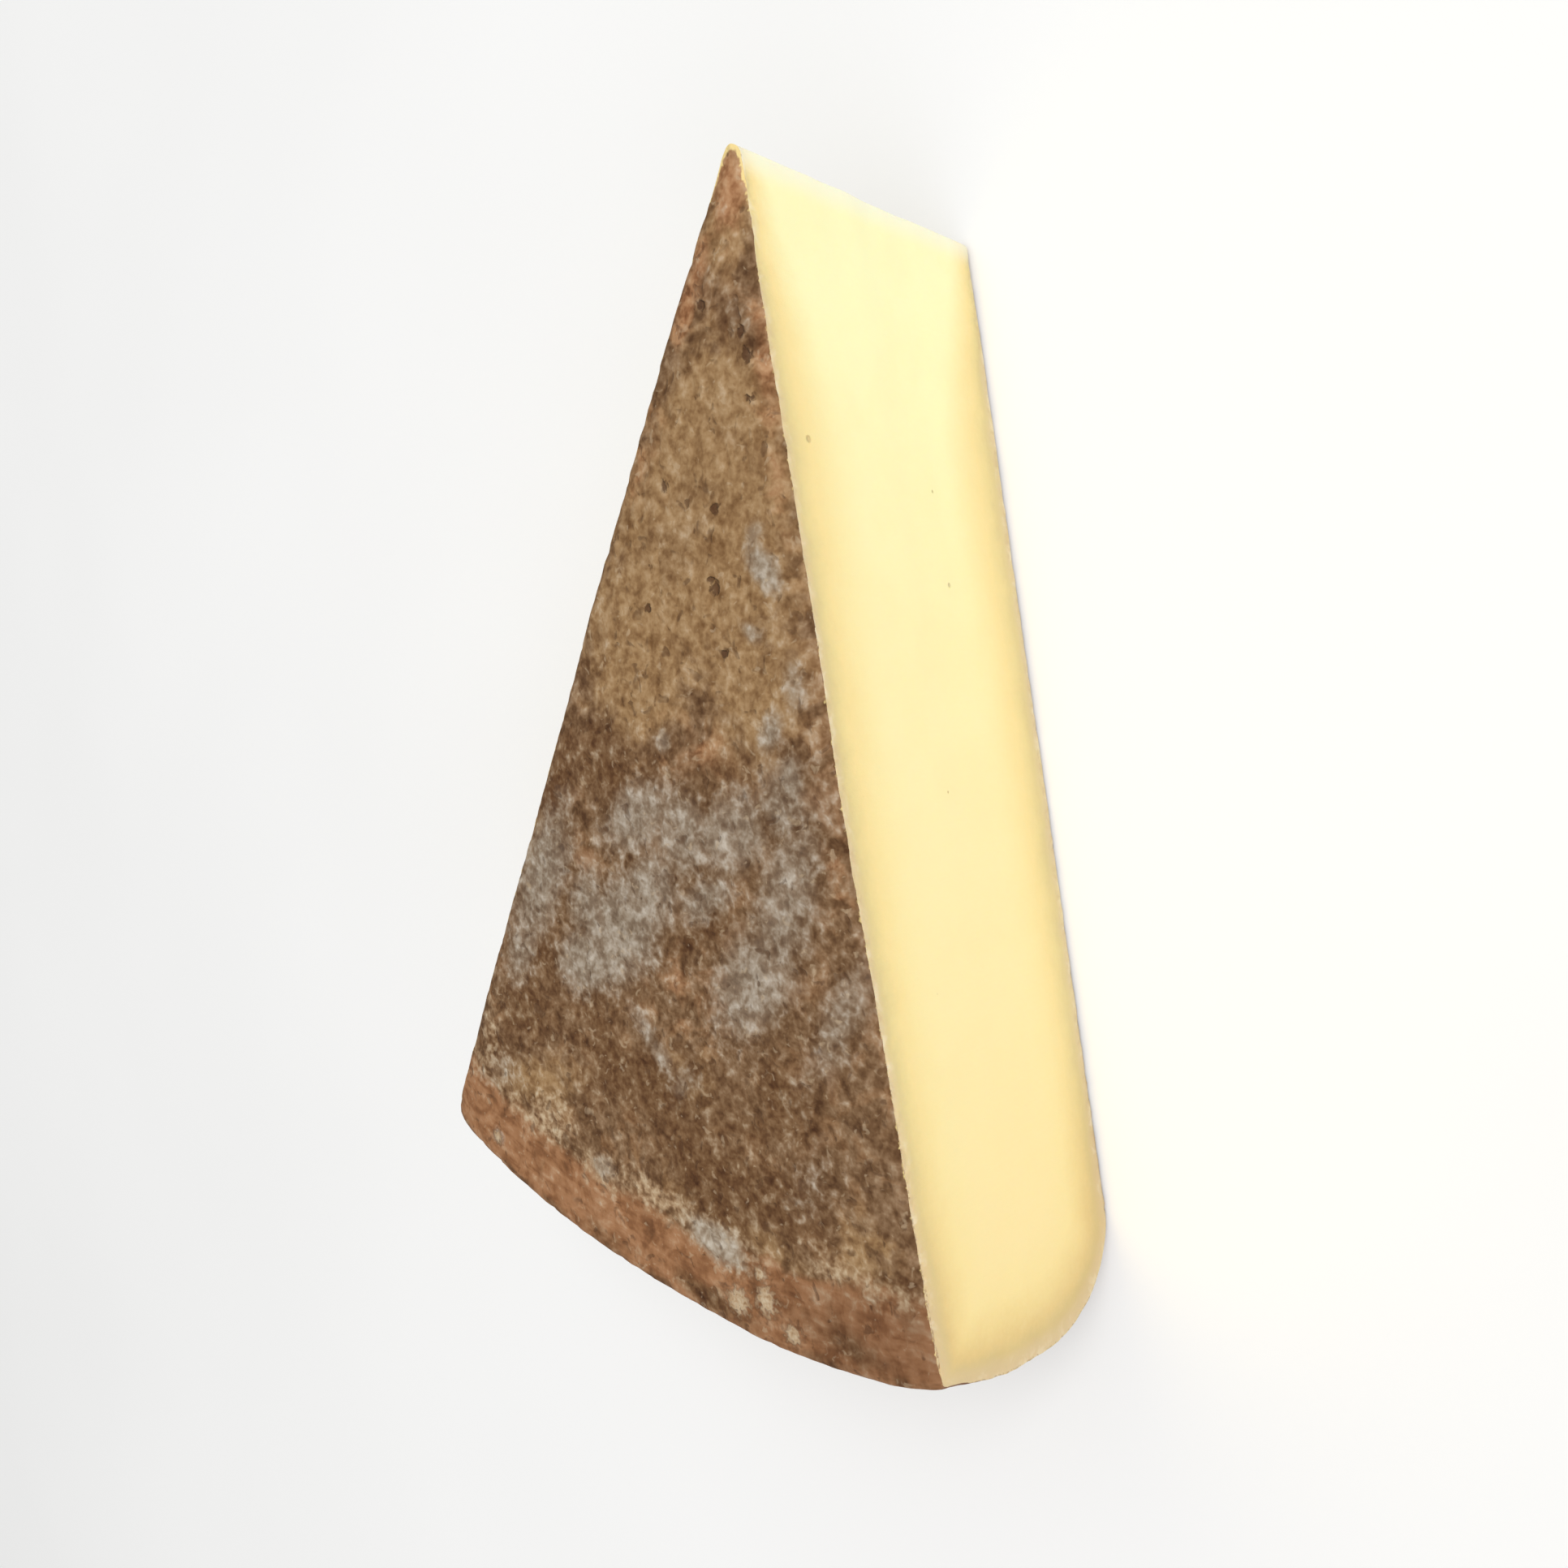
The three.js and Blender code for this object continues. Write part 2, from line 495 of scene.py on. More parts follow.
def blended(bottom, top, left, right):
    """A Coons patch: a grid that agrees with its four edges. Rows go up, columns go right."""
    u = np.linspace(0, 1, bottom.shape[0])[None, :, None]
    v = np.linspace(0, 1, left.shape[0])[:, None, None]
    between = (1 - v) * bottom[None] + v * top[None] + (1 - u) * left[:, None] + u * right[:, None]
    low = (1 - u) * bottom[0] + u * bottom[-1]
    high = (1 - u) * top[0] + u * top[-1]
    return between - (1 - v) * low - v * high


def cut_edges(sheet, nose, column):
    """A cut face's four edges, taken from one column of the rind and of the nose."""
    bottom = sheet[: FACE_STEPS + 1, column]
    right = sheet[FACE_STEPS : FACE_STEPS + RIM_STEPS + 1, column]
    top = sheet[FACE_STEPS + RIM_STEPS :, column][::-1]
    return bottom, top, nose[:, column], right


def build_nose(rind, smooth):
    """The rounded point, from the rind below to the rind above, and how deep under the rind it is."""
    fade = 40
    share = np.linspace(0, 1, RIM_STEPS + 1)[:, None, None]
    plain = smooth[0][None] + (smooth[-1] - smooth[0])[None] * share
    from_below = (rind[0] - smooth[0])[None] * np.exp(-share * fade)
    from_above = (rind[-1] - smooth[-1])[None] * np.exp(-(1 - share) * fade)
    outward = plain * np.array([1.0, 1.0, 0.0]) + np.array([NOSE_CENTRE, 0.0, 0.0])
    outward /= np.linalg.norm(outward, axis=-1, keepdims=True).clip(1e-6)
    wobble = 0.18 * noise(plain, 9, 83, 2) * np.sin(share[..., 0] * math.pi)
    nose = plain + (from_below + from_above) + outward * wobble[..., None]
    nose[0], nose[-1] = rind[0], rind[-1]
    depth = np.minimum(plain[..., 2], smooth[-1, :, 2] - plain[..., 2])
    return nose, depth


def section_places(points):
    """Points as (distance from the wheel's axis, height)."""
    return np.stack([np.hypot(points[..., 0], points[..., 1]), points[..., 2]], -1)


def knife_marks(plain, depth, seed):
    """How far a cut face's long waves and fine drag lines stand out of its plane."""
    pull = np.array([0.02, 0.02, 0.35])
    wave = 0.28 * noise(plain, 34, seed, 2) + 0.035 * noise(plain * (1 - pull), 3.2, seed + 5, 2)
    wave += 0.09 * np.exp(-depth / 5) * noise(plain, 3.0, seed + 7, 2)
    return wave


def build_cut(rind, smooth, nose, smooth_nose, column, seed):
    """One cut face as a grid, and how deep under the rind each point of it is."""
    smooth_edges = cut_edges(smooth, smooth_nose, column)
    true_edges = cut_edges(rind, nose, column)
    plain = blended(*smooth_edges)
    moved = blended(*[true - plain_edge for true, plain_edge in zip(true_edges, smooth_edges)])
    bottom, top, _, right = smooth_edges
    outline = resample(section_places(np.concatenate([bottom, right, top[::-1]])), OUTLINE_POINTS)
    flat = section_places(plain)
    depth = depth_under_rind(flat.reshape(-1, 2), outline).reshape(flat.shape[:2])

    side = -1.0 if column == 0 else 1.0
    outward = np.array([math.sin(HALF_ANGLE), side * math.cos(HALF_ANGLE), 0.0])
    wave = knife_marks(plain, depth, seed)
    lip = 0.14 * np.exp(-depth / 0.9) * noise(plain, 1.6, seed + 9, 2)
    inside = step(depth, 0.0, 2.5) * step(flat[..., 0] - flat[:, :1, 0], 0, 4)
    relief = wave * inside + lip * (depth > 0)
    grid = plain + moved * np.exp(-depth / 1.2)[..., None] + outward * relief[..., None]
    for edge, kept in zip((grid[0], grid[-1], grid[:, 0], grid[:, -1]), true_edges):
        edge[:] = kept
    return grid, depth


# ---------------------------------------------------------------------------
# One closed mesh
# ---------------------------------------------------------------------------

RIND, PASTE = 0, 1  # the mesh's material slots


def quads(grid, flip=False):
    """The faces of a grid of vertex numbers."""
    a, b, c, d = grid[:-1, :-1], grid[:-1, 1:], grid[1:, 1:], grid[1:, :-1]
    corners = (a, d, c, b) if flip else (a, b, c, d)
    return np.stack([corner.ravel() for corner in corners], 1)


class Surface:
    """Collects grids of vertices that share their edges."""

    def __init__(self):
        self.points, self.depth, self.count = [], [], 0

    def add(self, points, depth):
        """Adds a grid and returns its vertex numbers."""
        numbers = self.count + np.arange(points.shape[0] * points.shape[1]).reshape(points.shape[:2])
        self.points.append(points.reshape(-1, 3))
        self.depth.append(depth.ravel())
        self.count += numbers.size
        return numbers

    def add_inside(self, points, depth, edges):
        """Adds the inside of a grid and returns all its vertex numbers, with the edges' own round it."""
        bottom, top, left, right = edges
        numbers = np.empty(points.shape[:2], np.int64)
        numbers[1:-1, 1:-1] = self.add(points[1:-1, 1:-1], depth[1:-1, 1:-1])
        numbers[:, 0], numbers[:, -1] = left, right
        numbers[0], numbers[-1] = bottom, top
        return numbers


def add_attribute(mesh, name, values):
    """Gives each vertex its number, or 0 past the end of the values."""
    full = np.zeros(len(mesh.vertices), np.float32)
    full[: values.size] = values.ravel()
    mesh.attributes.new(name, "FLOAT", "POINT").data.foreach_set("value", full)


def wedge_mesh():
    """The rind, the nose and the two cut faces, with the masks that the materials read."""
    sheet = rind_sheet()
    smooth = placed(*sheet)
    rind, masks, hoops = build_rind(*sheet)
    nose, nose_depth = build_nose(rind, smooth)
    smooth_nose, _ = build_nose(smooth, smooth)

    surface = Surface()
    rind_numbers = surface.add(rind, np.zeros(rind.shape[:2]))
    nose_numbers = np.empty(nose.shape[:2], np.int64)
    nose_numbers[1:-1] = surface.add(nose[1:-1], nose_depth[1:-1])
    nose_numbers[0], nose_numbers[-1] = rind_numbers[0], rind_numbers[-1]
    faces = [quads(rind_numbers, flip=True), quads(nose_numbers)]
    for column, seed, flip in ((0, 101, True), (-1, 131, False)):
        points, depth = build_cut(rind, smooth, nose, smooth_nose, column, seed)
        edges = cut_edges(rind_numbers, nose_numbers, column)
        faces.append(quads(surface.add_inside(points, depth, edges), flip))

    points = np.concatenate(surface.points) + np.array([AXIS_X, 0, 0])
    mesh = bpy.data.meshes.new("cheese")
    mesh.from_pydata((points * MM).tolist(), [], np.concatenate(faces).tolist())
    slots = np.full(len(mesh.polygons), PASTE, np.int32)
    slots[: len(faces[0])] = RIND
    mesh.polygons.foreach_set("material_index", slots)
    mesh.polygons.foreach_set("use_smooth", np.ones(len(mesh.polygons), bool))
    mesh.set_sharp_from_angle(angle=SHARP_ANGLE)
    for name, values in masks.items():
        add_attribute(mesh, name, values)
    places = np.zeros((surface.count, 3), np.float32)
    places[: rind_numbers.size] = hoops.reshape(-1, 3)
    mesh.attributes.new("hoops", "FLOAT_VECTOR", "POINT").data.foreach_set("vector", places.ravel())
    add_attribute(mesh, "depth", np.concatenate(surface.depth))
    mesh.update()
    return mesh


# ---------------------------------------------------------------------------
# Materials
# ---------------------------------------------------------------------------

LIGHT_LEVEL = 1.06  # what the lights send back from a white sheet, which colours are divided by
MOST_ALBEDO = 0.97
SIDEWAYS, UP = (0, 1, 0), (0, 0, 1)


def tone(red, green, blue):
    """A colour as it should look in the picture, 0 to 255, as the surface's own colour."""
    linear = [((c / 255 + 0.055) / 1.055) ** 2.4 if c > 10 else c / 255 / 12.92 for c in (red, green, blue)]
    return tuple(min(c / LIGHT_LEVEL, MOST_ALBEDO) for c in linear) + (1.0,)


class Tree:
    """A material's nodes. Most calls add a node and return its output; colour is what is laid down so far."""

    def __init__(self, name):
        self.material = bpy.data.materials.new(name)
        self.material.use_nodes = True
        self.nodes = self.material.node_tree.nodes
        self.links = self.material.node_tree.links
        self.nodes.clear()
        coordinates = self.nodes.new("ShaderNodeTexCoord")
        self.where = self.vector("MULTIPLY", coordinates.outputs["Object"], (1 / MM, 1 / MM, 1 / MM))
        self.colour = None

    def put(self, socket, value):
        """Links or sets a socket."""
        if isinstance(value, bpy.types.NodeSocket):
            self.links.new(value, socket)
        else:
            socket.default_value = value

    def vector(self, operation, a, b, output="Vector"):
        node = self.nodes.new("ShaderNodeVectorMath")
        node.operation = operation
        self.put(node.inputs[0], a)
        self.put(node.inputs[1], b)
        return node.outputs[output]

    def math(self, operation, a, b):
        node = self.nodes.new("ShaderNodeMath")
        node.operation = operation
        self.put(node.inputs[0], a)
        self.put(node.inputs[1], b)
        return node.outputs[0]

    def times(self, a, b):
        return self.math("MULTIPLY", a, b)

    def plus(self, a, b):
        return self.math("ADD", a, b)

    def swing(self, texture, amount):
        """A texture from 0 to 1 as a change from minus half to plus half of the amount."""
        return self.times(self.math("SUBTRACT", texture, 0.5), amount)

    def reach(self, direction):
        """How far a place is in a direction, in mm."""
        return self.vector("DOT_PRODUCT", self.where, direction, "Value")

    def noise(self, size, detail, roughness=0.5, swirl=0.0, where=None):
        """Noise from 0 to 1 with features about size mm across."""
        node = self.nodes.new("ShaderNodeTexNoise")
        self.put(node.inputs["Vector"], where or self.where)
        node.inputs["Scale"].default_value = 1 / size
        node.inputs["Detail"].default_value = detail
        node.inputs["Roughness"].default_value = roughness
        node.inputs["Distortion"].default_value = swirl
        return node.outputs["Fac"]

    def moved(self, shift, stretch=(1, 1, 1)):
        """The place on the surface, shifted and stretched, so that two textures differ."""
        return self.vector("ADD", self.vector("MULTIPLY", self.where, stretch), shift)

    def span(self, value, low, high, to_low=0.0, to_high=1.0):
        """A smooth change from to_low to to_high as the value goes from low to high."""
        node = self.nodes.new("ShaderNodeMapRange")
        node.interpolation_type = "SMOOTHSTEP"
        for socket, number in zip(node.inputs[:5], (value, low, high, to_low, to_high)):
            self.put(socket, number)
        return node.outputs[0]

    def sum_of(self, *pairs):
        """Weighted textures added up, given as (weight, texture)."""
        total = None
        for weight, texture in pairs:
            part = self.times(texture, weight)
            total = part if total is None else self.plus(total, part)
        return total

    def blend(self, low, high, *pairs):
        """Weighted textures added up, with low to high stretched to 0 to 1, without limits."""
        return self.math("DIVIDE", self.math("SUBTRACT", self.sum_of(*pairs), low), high - low)

    def ramp(self, value, places, colours):
        """Colours by value: each (red, green, blue) at its place from 0 to 1."""
        node = self.nodes.new("ShaderNodeValToRGB")
        self.put(node.inputs[0], value)
        elements = node.color_ramp.elements
        while len(elements) < len(places):
            elements.new(1.0)
        for element, place, colour in zip(elements, places, colours):
            element.position, element.color = place, tone(*colour)
        return node.outputs[0]

    def mix(self, share, a, b):
        """Colour b laid over colour a by share."""
        node = self.nodes.new("ShaderNodeMix")
        node.data_type, node.blend_type = "RGBA", "MIX"
        for socket, value in zip((node.inputs[0], node.inputs[6], node.inputs[7]), (share, a, b)):
            self.put(socket, value)
        return node.outputs[2]

    def paint(self, share, red, green, blue):
        """Lays one colour over the colour so far."""
        self.colour = self.mix(share, self.colour, tone(red, green, blue))

    def attribute(self, name, output="Fac"):
        node = self.nodes.new("ShaderNodeAttribute")
        node.attribute_name = name
        return node.outputs[output]

    def spots(self, places, texture=None, where=None):
        """1 in small round spots and 0 between them, with ragged edges if a texture is given.

        A spot is (x, y, z, size), in mm.
        """
        total = None
        for *place, size in places:
            gap = self.vector("DISTANCE", where or self.where, place, "Value")
            if texture:
                gap = self.plus(gap, self.swing(texture, 2.0 * size))
            spot = self.span(gap, size * 0.45, size * 1.2, 1.0, 0.0)
            total = spot if total is None else self.math("MAXIMUM", total, spot)
        return total

    def broken(self, mask, texture, amount, low, high):
        """A soft mask whose edge is broken up by a texture."""
        return self.span(self.plus(mask, self.swing(texture, amount)), low, high)

    def bump(self, height, distance, normal=None):
        """A surface normal from a height, distance mm high."""
        node = self.nodes.new("ShaderNodeBump")
        node.inputs["Distance"].default_value = distance * MM
        node.inputs["Strength"].default_value = 1.0
        self.put(node.inputs["Height"], height)
        if normal:
            self.links.new(normal, node.inputs["Normal"])
        return node.outputs[0]

    def shader(self, sockets):
        """Ends the tree in a Principled shader and returns the material."""
        node = self.nodes.new("ShaderNodeBsdfPrincipled")
        for name, value in sockets.items():
            self.put(node.inputs[name], value)
        out = self.nodes.new("ShaderNodeOutputMaterial")
        self.links.new(node.outputs[0], out.inputs[0])
        return self.material


# Rind colours from the darkest flecks to the palest, all at the same places along a ramp.
RAMP_PLACES = (0.05, 0.35, 0.50, 0.65, 0.95)
BROWN = [(82, 54, 31), (112, 82, 54), (128, 98, 69), (141, 111, 82), (170, 143, 114)]
RUST = [(94, 59, 31), (130, 88, 52), (149, 106, 68), (161, 119, 80), (184, 148, 112)]
GOLD = [(116, 82, 48), (143, 109, 72), (157, 123, 84), (168, 135, 96), (188, 158, 122)]
DARK = [(70, 41, 21), (98, 66, 39), (113, 81, 51), (126, 95, 65), (161, 134, 104)]
TERRACOTTA = [(104, 67, 40), (140, 95, 61), (158, 112, 76), (168, 122, 86), (194, 160, 126)]
BLUSH = [(116, 73, 41), (154, 106, 70), (173, 126, 88), (184, 139, 100), (204, 165, 127)]
WHITE = [(108, 88, 67), (138, 121, 102), (158, 144, 126), (174, 162, 146), (202, 193, 180)]
PALE = [(122, 89, 58), (154, 122, 90), (175, 144, 110), (191, 164, 130), (213, 193, 162)]


class RindTree(Tree):
    """The rind's nodes, whose layers share one set of textures."""

    def __init__(self):
        super().__init__("washed_rind")
        grain = self.noise(1.7, 2, 0.55, 0.25)
        strokes = self.noise(3.0, 2, 0.45, 0.8, self.moved((31, 7, 3)))
        dashes = self.noise(1.8, 2, 0.55, 0.5, self.attribute("hoops", "Vector"))
        fine = self.noise(0.8, 1, 0.50, 0.3, self.moved((5, 17, 9)))
        blotch = self.noise(6, 3, 0.60, 0.7, self.moved((2, 5, 40)))
        self.fine, self.blotch = fine, blotch
        self.cloud = self.noise(17, 3, 0.60, 0.6, self.moved((60, 11, 4)))
        self.flecked = self.blend(0.345, 0.655, (0.40, grain), (0.22, strokes), (0.15, fine), (0.23, blotch))
        self.dusty = self.blend(0.35, 0.65, (0.38, grain), (0.27, strokes), (0.17, fine), (0.18, blotch))
        self.smooth = self.blend(0.335, 0.665, (0.15, grain), (0.12, strokes), (0.46, blotch), (0.27, dashes))
        self.colour = self.ramp(self.flecked, RAMP_PLACES, BROWN)

    def lay(self, share, texture, palette):
        """Lays a palette over the colour so far. The texture picks the shade."""
        self.colour = self.mix(share, self.colour, self.ramp(texture, RAMP_PLACES, palette))

    def stain(self, name, texture, amount, low, high):
        """One of the mesh's masks, with its edge broken up."""
        return self.broken(self.attribute(name), texture, amount, low, high)

    def stains(self):
        """The large patches of colour."""
        self.lay(self.times(self.span(self.blotch, 0.46, 0.64), 0.4), self.flecked, RUST)
        self.lay(self.stain("gold", self.blotch, 1.3, 0.20, 0.75), self.flecked, GOLD)
        self.lay(self.stain("blush", self.blotch, 1.6, 0.20, 1.00), self.flecked, BLUSH)
        self.lay(self.stain("shoulder", self.blotch, 1.2, 0.25, 0.75), self.smooth, TERRACOTTA)
        self.lay(self.stain("dark", self.cloud, 2.2, 0.25, 0.95), self.flecked, DARK)
        self.lay(self.times(self.span(self.cloud, 0.42, 0.30), 0.35), self.flecked, DARK)

    def growths(self):
        """The pale crust, and the grey bloom, a soft film with paler flecks. Returns both masks."""
        crust = self.times(self.stain("crust", self.dusty, 0.70, 0.20, 0.95), 0.92)
        film = self.times(self.stain("bloom", self.blotch, 1.2, 0.24, 0.85), 0.36)
        bloom = self.times(self.stain("bloom", self.dusty, 0.75, 0.21, 1.08), 0.74)
        self.lay(crust, self.dusty, PALE)
        self.paint(film, 157, 142, 125)
        self.lay(bloom, self.dusty, WHITE)
        return crust, bloom

    def pits(self):
        """Small dark pits, pale specks and the listed dark holes. Returns the masks of pits and holes."""
        pits = self.span(self.noise(2.4, 2, 0.5, 0.7, self.moved((70, 2, 8))), 0.59, 0.73)
        specks = self.span(self.noise(1.7, 2, 0.5, 0.6, self.moved((9, 70, 1))), 0.63, 0.73)
        places = [(AXIS_X - along, side, dome(along), size) for along, side, size in TOP_PITS]
        holes = self.spots(places, self.fine)
        self.paint(self.times(pits, 0.55), 84, 55, 33)
        self.paint(self.times(specks, 0.35), 204, 180, 148)
        self.paint(self.times(holes, 0.75), 80, 50, 30)
        return pits, holes

    def shoulder_marks(self):
        """A redder brown towards one cut, and pale mould in darker rings. Returns the mould's mask."""
        towards_cut = self.span(self.reach(SIDEWAYS), -12.0, -42.0, 0.0, 0.30)
        self.paint(self.times(self.attribute("shoulder"), towards_cut), 62, 30, 12)

        plan = self.vector("MULTIPLY", self.where, (1, 1, 0))
        above = self.span(self.reach(UP), 38.0, 44.0)
        spots = [(AXIS_X - along, side, 0, size) for along, side, size in SHOULDER_SPOTS]
        rings = self.spots([(*place, size * 1.5) for *place, size in spots], self.fine, plan)
        mould = self.times(self.times(self.spots(spots, self.fine, plan), above), 0.85)
        self.paint(self.times(self.times(rings, above), 0.65), 104, 70, 45)
        self.lay(mould, self.sum_of((0.45, self.dusty), (1.1, self.fine)), PALE)
        return mould

    def rubbed_edge(self):
        """The point and the cut edges, where the rind is rubbed down to the paste."""
        left = self.plus(self.attribute("rubbed"), self.swing(self.fine, 1.2))
        self.paint(self.span(left, 0.35, 0.75, 1.0, 0.0), 244, 218, 150)


def rind_material():
    rind = RindTree()
    rind.stains()
    crust, bloom = rind.growths()
    pits, holes = rind.pits()
    mould = rind.shoulder_marks()
    rind.rubbed_edge()
    height = rind.sum_of(
        (0.9, rind.flecked), (-0.8, pits), (-2.0, holes), (0.4, bloom), (0.4, crust), (1.2, mould)
    )
    skin = rind.noise(0.30, 1, 0.5, 0.0, rind.moved((1, 2, 90)))
    return rind.shader(
        {
            "Base Color": rind.colour,
            "Roughness": rind.span(rind.flecked, 0.1, 0.9, 0.92, 0.72),
            "Specular IOR Level": 0.22,
            "Normal": rind.bump(skin, 0.04, rind.bump(height, 0.16)),
        }
    )


# Pinholes and dark specks in one cut face: mm from the axis, height, size.
SPECKS = [
    (42.5, 52.3, 0.55),
    (61.7, 21.5, 0.40),
    (47.2, 22.5, 0.26),
    (93.0, 30.5, 0.22),
    (121.0, 41.0, 0.25),
]
BAND_REACH = 20.0  # how deep the band under the rind goes, in mm

# The band's colours from the rind inwards, at shares of its reach, near the point and near the heel.
BAND_PLACES = (0.00, 0.06, 0.13, 0.20, 0.30, 0.46, 1.00)
BAND = [
    (224, 201, 163),
    (224, 203, 156),
    (226, 206, 146),
    (238, 217, 151),
    (250, 226, 158),
    (254, 233, 167),
    (255, 240, 180),
]
HEEL_BAND = [
    (216, 189, 147),
    (215, 188, 134),
    (219, 193, 130),
    (233, 203, 135),
    (244, 217, 147),
    (253, 229, 160),
    (254, 233, 168),
]

# The middle of the paste, by its share of the wheel's radius from the point to the heel. A red over 255 is
# brighter than the picture shows.
MIDDLE = [
    (0.04, (261, 254, 198)),
    (0.18, (261, 251, 194)),
    (0.34, (261, 245, 186)),
    (0.56, (261, 240, 180)),
    (0.78, (260, 236, 173)),
    (0.95, (260, 232, 167)),
]


class PasteTree(Tree):
    """The paste's nodes, whose layers share a place's depth under the rind and its place on the cut face."""

    def __init__(self):
        super().__init__("cheese_paste")
        out_along_cut = (-1 / math.cos(HALF_ANGLE), 0, 0)
        self.soft = self.noise(14, 3, 0.5, 0.3)
        self.fine = self.noise(0.8, 3, 0.6, 0.4, self.moved((3, 9, 2)))
        self.up = self.reach(UP)
        self.along = self.plus(self.reach(out_along_cut), AXIS_X / math.cos(HALF_ANGLE))
        self.depth = self.plus(self.attribute("depth"), self.swing(self.fine, 0.9))

    def band(self):
        """The band under the rind and the paler middle.

        The band is thin at the point, and thicker towards the heel and near the wheel's lower face.
        """
        uneven = self.swing(self.noise(6, 3, 0.6, 0.5, self.moved((8, 3, 70))), 3.0)
        from_point = self.span(self.along, 0.0, 45.0, 0.30, 1.0)
        to_heel = self.span(self.along, 140.0, 178.0, 1.0, 1.25)
        low_down = self.span(self.up, 4.0, 30.0, 1.35, 1.0)
        thickness = self.times(self.times(from_point, to_heel), low_down)
        banded = self.math("DIVIDE", self.plus(self.depth, uneven), thickness)
        place = self.math("DIVIDE", banded, BAND_REACH)
        band = self.ramp(place, BAND_PLACES, BAND)
        heel_band = self.ramp(place, BAND_PLACES, HEEL_BAND)
        band = self.mix(self.span(self.along, 130.0, 172.0), band, heel_band)
        middle = self.ramp(self.math("DIVIDE", self.along, WHEEL_RADIUS), *zip(*MIDDLE))
        self.colour = self.mix(self.span(banded, 6.0, 18.0), band, middle)
        self.paint(self.span(self.soft, 0.35, 0.65, 0.0, 0.12), 252, 226, 150)

    def fringe(self):
        """The paste beside the rind, torn a little by the knife into paler and darker lumps."""
        fringe = self.span(self.depth, 0.8, 3.0, 1.0, 0.0)
        lumps = self.noise(2.4, 2, 0.55, 0.6, self.moved((20, 5, 33)))
        self.paint(self.times(fringe, self.span(lumps, 0.50, 0.68, 0.0, 0.5)), 244, 229, 198)
        self.paint(self.times(fringe, self.span(lumps, 0.34, 0.48, 0.4, 0.0)), 206, 180, 130)

    def shade_tint_lip_and_highlight(self):
        """The other cut face, which lies in shade, tinted a deeper yellow as painted shade colour; the pale
        lip by the heel; and a painted highlight that lightens the point.
        """
        # painted shade colour: the far cut face, which lies in shade, is tinted a deeper, warmer yellow so
        # that its shade looks warm
        self.paint(self.span(self.reach(SIDEWAYS), 0.0, 4.0, 0.0, 0.30), 252, 216, 140)
        lip = self.math("DIVIDE", self.depth, self.span(self.up, 34.0, 52.0, 1.0, 1.45))
        by_heel = self.span(self.along, 150.0, 172.0, 0.0, 0.50)
        self.paint(self.times(self.span(lip, 1.2, 3.6, 1.0, 0.0), by_heel), 225, 202, 157)
        # painted highlight: the paste by the point is lightened towards near white, standing in for bright
        # light off the point
        self.paint(self.span(self.along, 4.6, 8.6, 0.65, 0.0), 251, 249, 229)

    def crumbs(self):
        """Crumbs of rind that the knife pressed into the edge. Returns their mask."""
        by_rind = self.span(self.depth, 0.15, 0.55, 1.0, 0.0)
        crumbs = self.times(self.span(self.fine, 0.50, 0.60), by_rind)
        crumbs = self.times(crumbs, self.span(self.up, 5.0, 14.0, 0.15, 0.65))
        self.paint(crumbs, 150, 112, 76)
        return crumbs

    def pinholes(self):
        """The listed pinholes. Returns their mask."""
        cos, sin = math.cos(HALF_ANGLE), math.sin(HALF_ANGLE)
        places = [(AXIS_X - along * cos, -along * sin, height, size) for along, height, size in SPECKS]
        holes = self.spots(places)
        self.paint(self.times(holes, 0.40), 160, 130, 76)
        return holes


def paste_material():
    paste = PasteTree()
    paste.band()
    paste.fringe()
    paste.shade_tint_lip_and_highlight()
    crumbs = paste.crumbs()
    holes = paste.pinholes()
    grains = paste.noise(0.35, 2, 0.5, 0.0, paste.moved((40, 1, 8)))
    drag = paste.noise(1.6, 3, 0.6, 0.2, paste.moved((4, 4, 4), (1.0, 1.0, 0.06)))
    height = paste.sum_of((0.25, grains), (0.5, drag), (-2.0, holes), (0.5, crumbs))
    return paste.shader(
        {
            "Base Color": paste.colour,
            "Roughness": paste.span(paste.plus(paste.fine, paste.soft), 0.7, 1.3, 0.56, 0.40),
            "Specular IOR Level": 0.35,
            "Subsurface Weight": 0.22,
            "Subsurface Radius": (1.0, 0.62, 0.28),
            "Subsurface Scale": 0.003,
            "Normal": paste.bump(height, 0.10),
        }
    )


# ---------------------------------------------------------------------------
# The object
# ---------------------------------------------------------------------------


def in_scene(name, data):
    """A new object in the scene."""
    made = bpy.data.objects.new(name, data)
    bpy.context.scene.collection.objects.link(made)
    return made


cheese = in_scene("cheese", wedge_mesh())
cheese.data.materials.append(rind_material())
cheese.data.materials.append(paste_material())
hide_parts("cheese_wedge")
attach(cheese, "root")


# ---------------------------------------------------------------------------
# Floor, light and camera, in metres
# ---------------------------------------------------------------------------

FLOOR_REACH = 3.0  # from the middle to each side
FLOOR_SHADES = ((0.91, 0.91, 0.91, 1), (0.93, 0.93, 0.93, 1))


def floor():
    r = FLOOR_REACH
    mesh = bpy.data.meshes.new("floor")
    mesh.from_pydata([(-r, -r, 0), (r, -r, 0), (r, r, 0), (-r, r, 0)], [], [(0, 1, 2, 3)])
    t = Tree("pale_floor")
    shade = t.mix(t.span(t.noise(160, 2), 0.3, 0.7), *FLOOR_SHADES)
    mesh.materials.append(t.shader({"Base Color": shade, "Roughness": 0.9}))
    in_scene("floor", mesh)


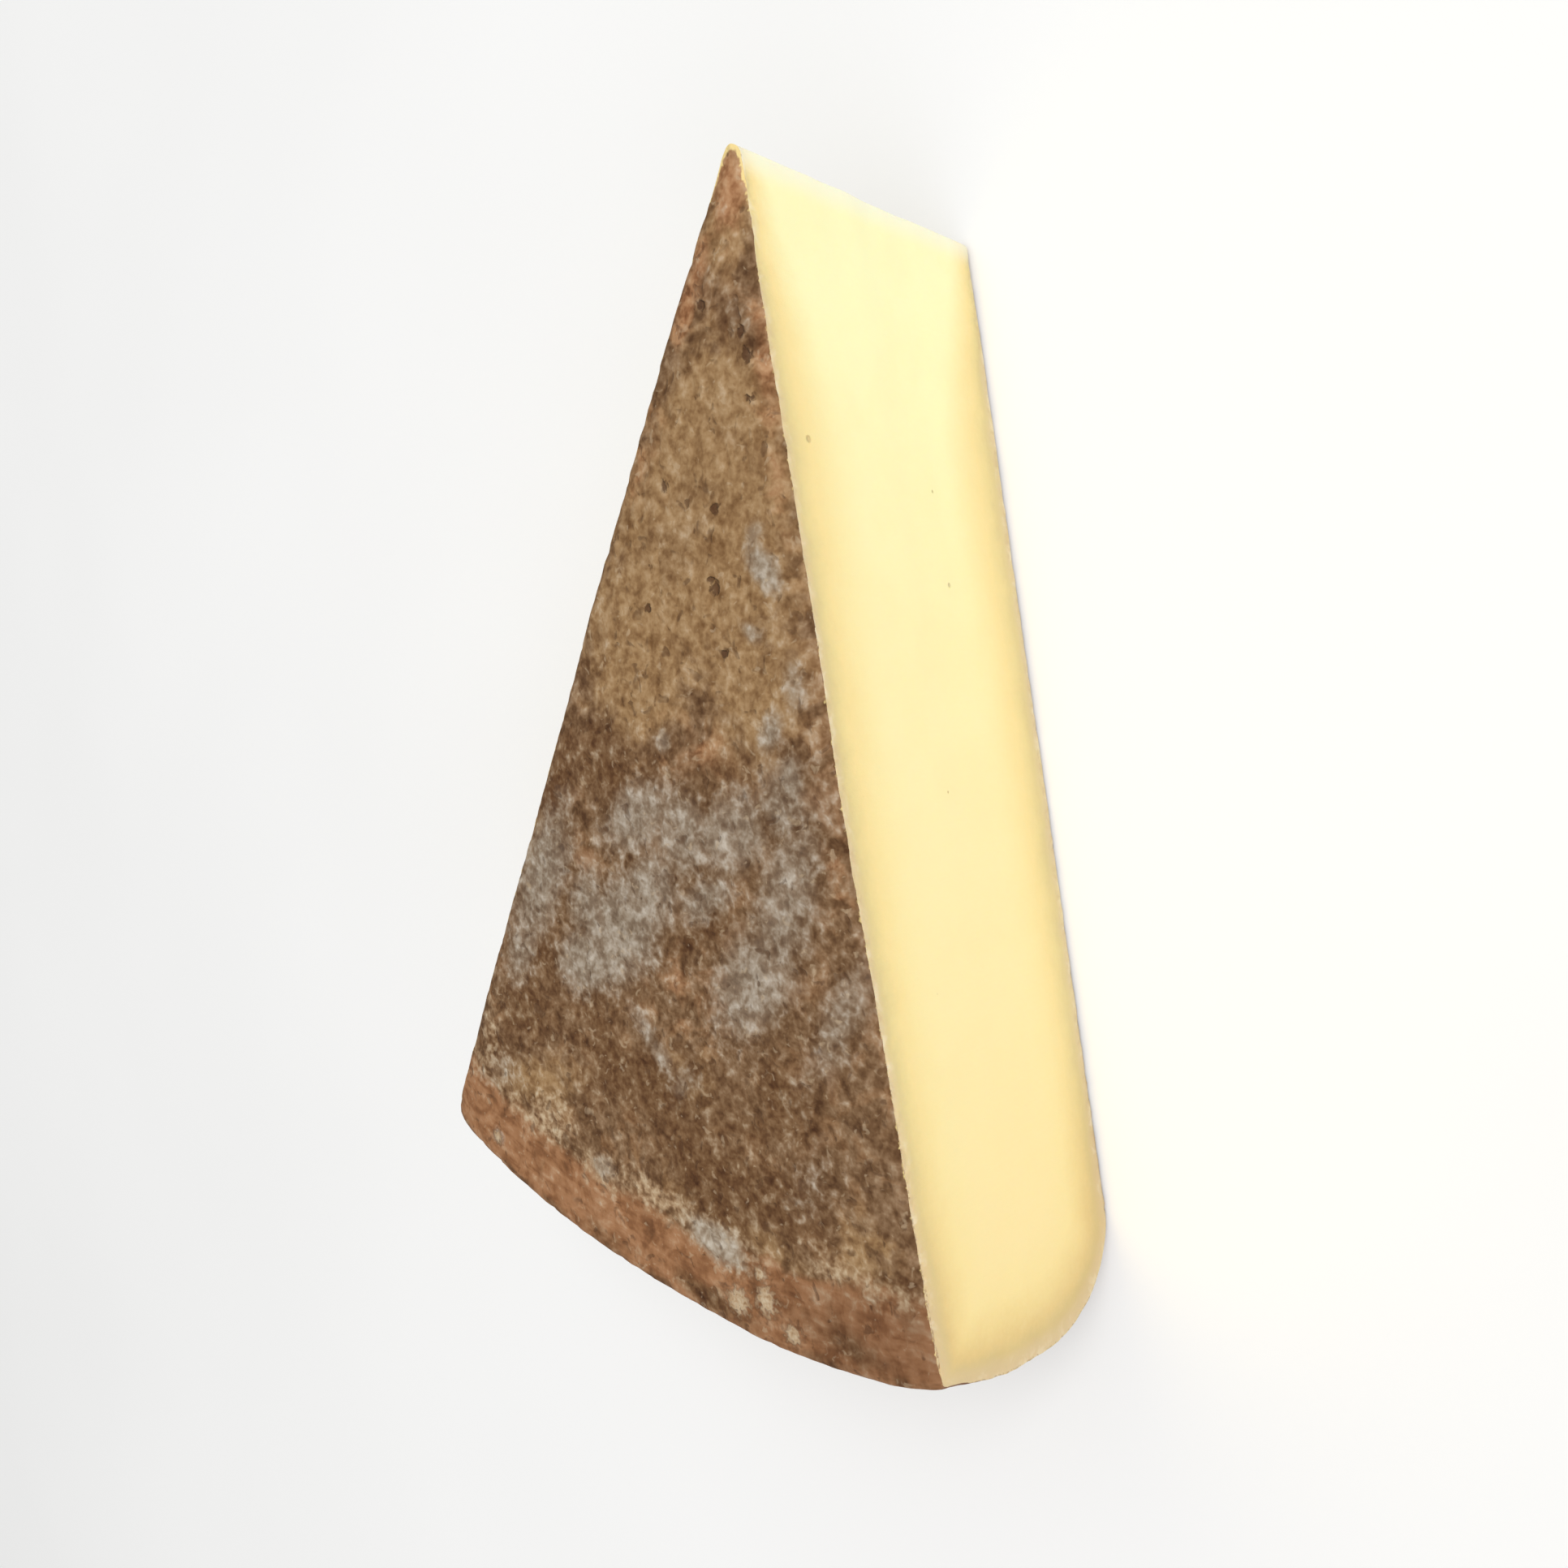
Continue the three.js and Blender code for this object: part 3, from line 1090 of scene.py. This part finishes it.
def area_light(name, azimuth, elevation, distance, size, power, colour):
    """A square light that faces the object from that direction."""
    a, e = math.radians(azimuth), math.radians(elevation)
    away = Vector((math.sin(a) * math.cos(e), -math.cos(a) * math.cos(e), math.sin(e)))
    data = bpy.data.lights.new(name, "AREA")
    data.shape, data.size, data.energy, data.color = "SQUARE", size, power, colour
    lamp = in_scene(name, data)
    lamp.location = away * distance
    lamp.rotation_mode = "QUATERNION"
    lamp.rotation_quaternion = away.to_track_quat("Z", "Y")


def light():
    """A pale sky, a key light from one side and a weaker fill from the other."""
    world = bpy.data.worlds.new("studio")
    bpy.context.scene.world = world
    world.use_nodes = True
    sky = world.node_tree.nodes["Background"]
    sky.inputs["Color"].default_value = (1.0, 1.0, 0.99, 1)
    sky.inputs["Strength"].default_value = 0.45
    area_light("key", 48, 56, 3.0, 1.8, 54.0, (1.0, 1.0, 0.99))
    area_light("fill", -40, 52, 3.2, 2.4, 20.0, (1.0, 1.0, 1.0))


# Where the picture was taken from, in the row's frame.
CAMERA_PLACE = Vector((40.5, -125.1, 191.6)) * MM
CAMERA_AZIMUTH = math.radians(18.4)
CAMERA_ELEVATION = math.radians(50.2)
CAMERA_ROLL = math.radians(98.5)  # the picture stands on its side, with the wedge's point upwards
CAMERA_LENS = 29.3  # mm, on a sensor of this width
CAMERA_SENSOR = 36.0
CAMERA_NEAREST = 0.01


def camera():
    data = bpy.data.cameras.new("camera")
    data.sensor_width, data.lens = CAMERA_SENSOR, CAMERA_LENS
    data.clip_start = CAMERA_NEAREST
    across = math.cos(CAMERA_ELEVATION)
    sideways, forwards = -math.sin(CAMERA_AZIMUTH), math.cos(CAMERA_AZIMUTH)
    ahead = Vector((sideways * across, forwards * across, -math.sin(CAMERA_ELEVATION)))
    level = ahead.cross(Vector((0, 0, 1))).normalized()
    upright = level.cross(ahead)
    up = upright * math.cos(CAMERA_ROLL) + level * math.sin(CAMERA_ROLL)
    right = ahead.cross(up)
    eye = in_scene("camera", data)
    facing = Matrix((right, up, -ahead)).transposed().to_4x4()
    eye.matrix_world = Matrix.Translation(CAMERA_PLACE) @ facing
    bpy.context.scene.camera = eye


floor()
light()
camera()
bpy.context.scene.view_settings.view_transform = "Standard"
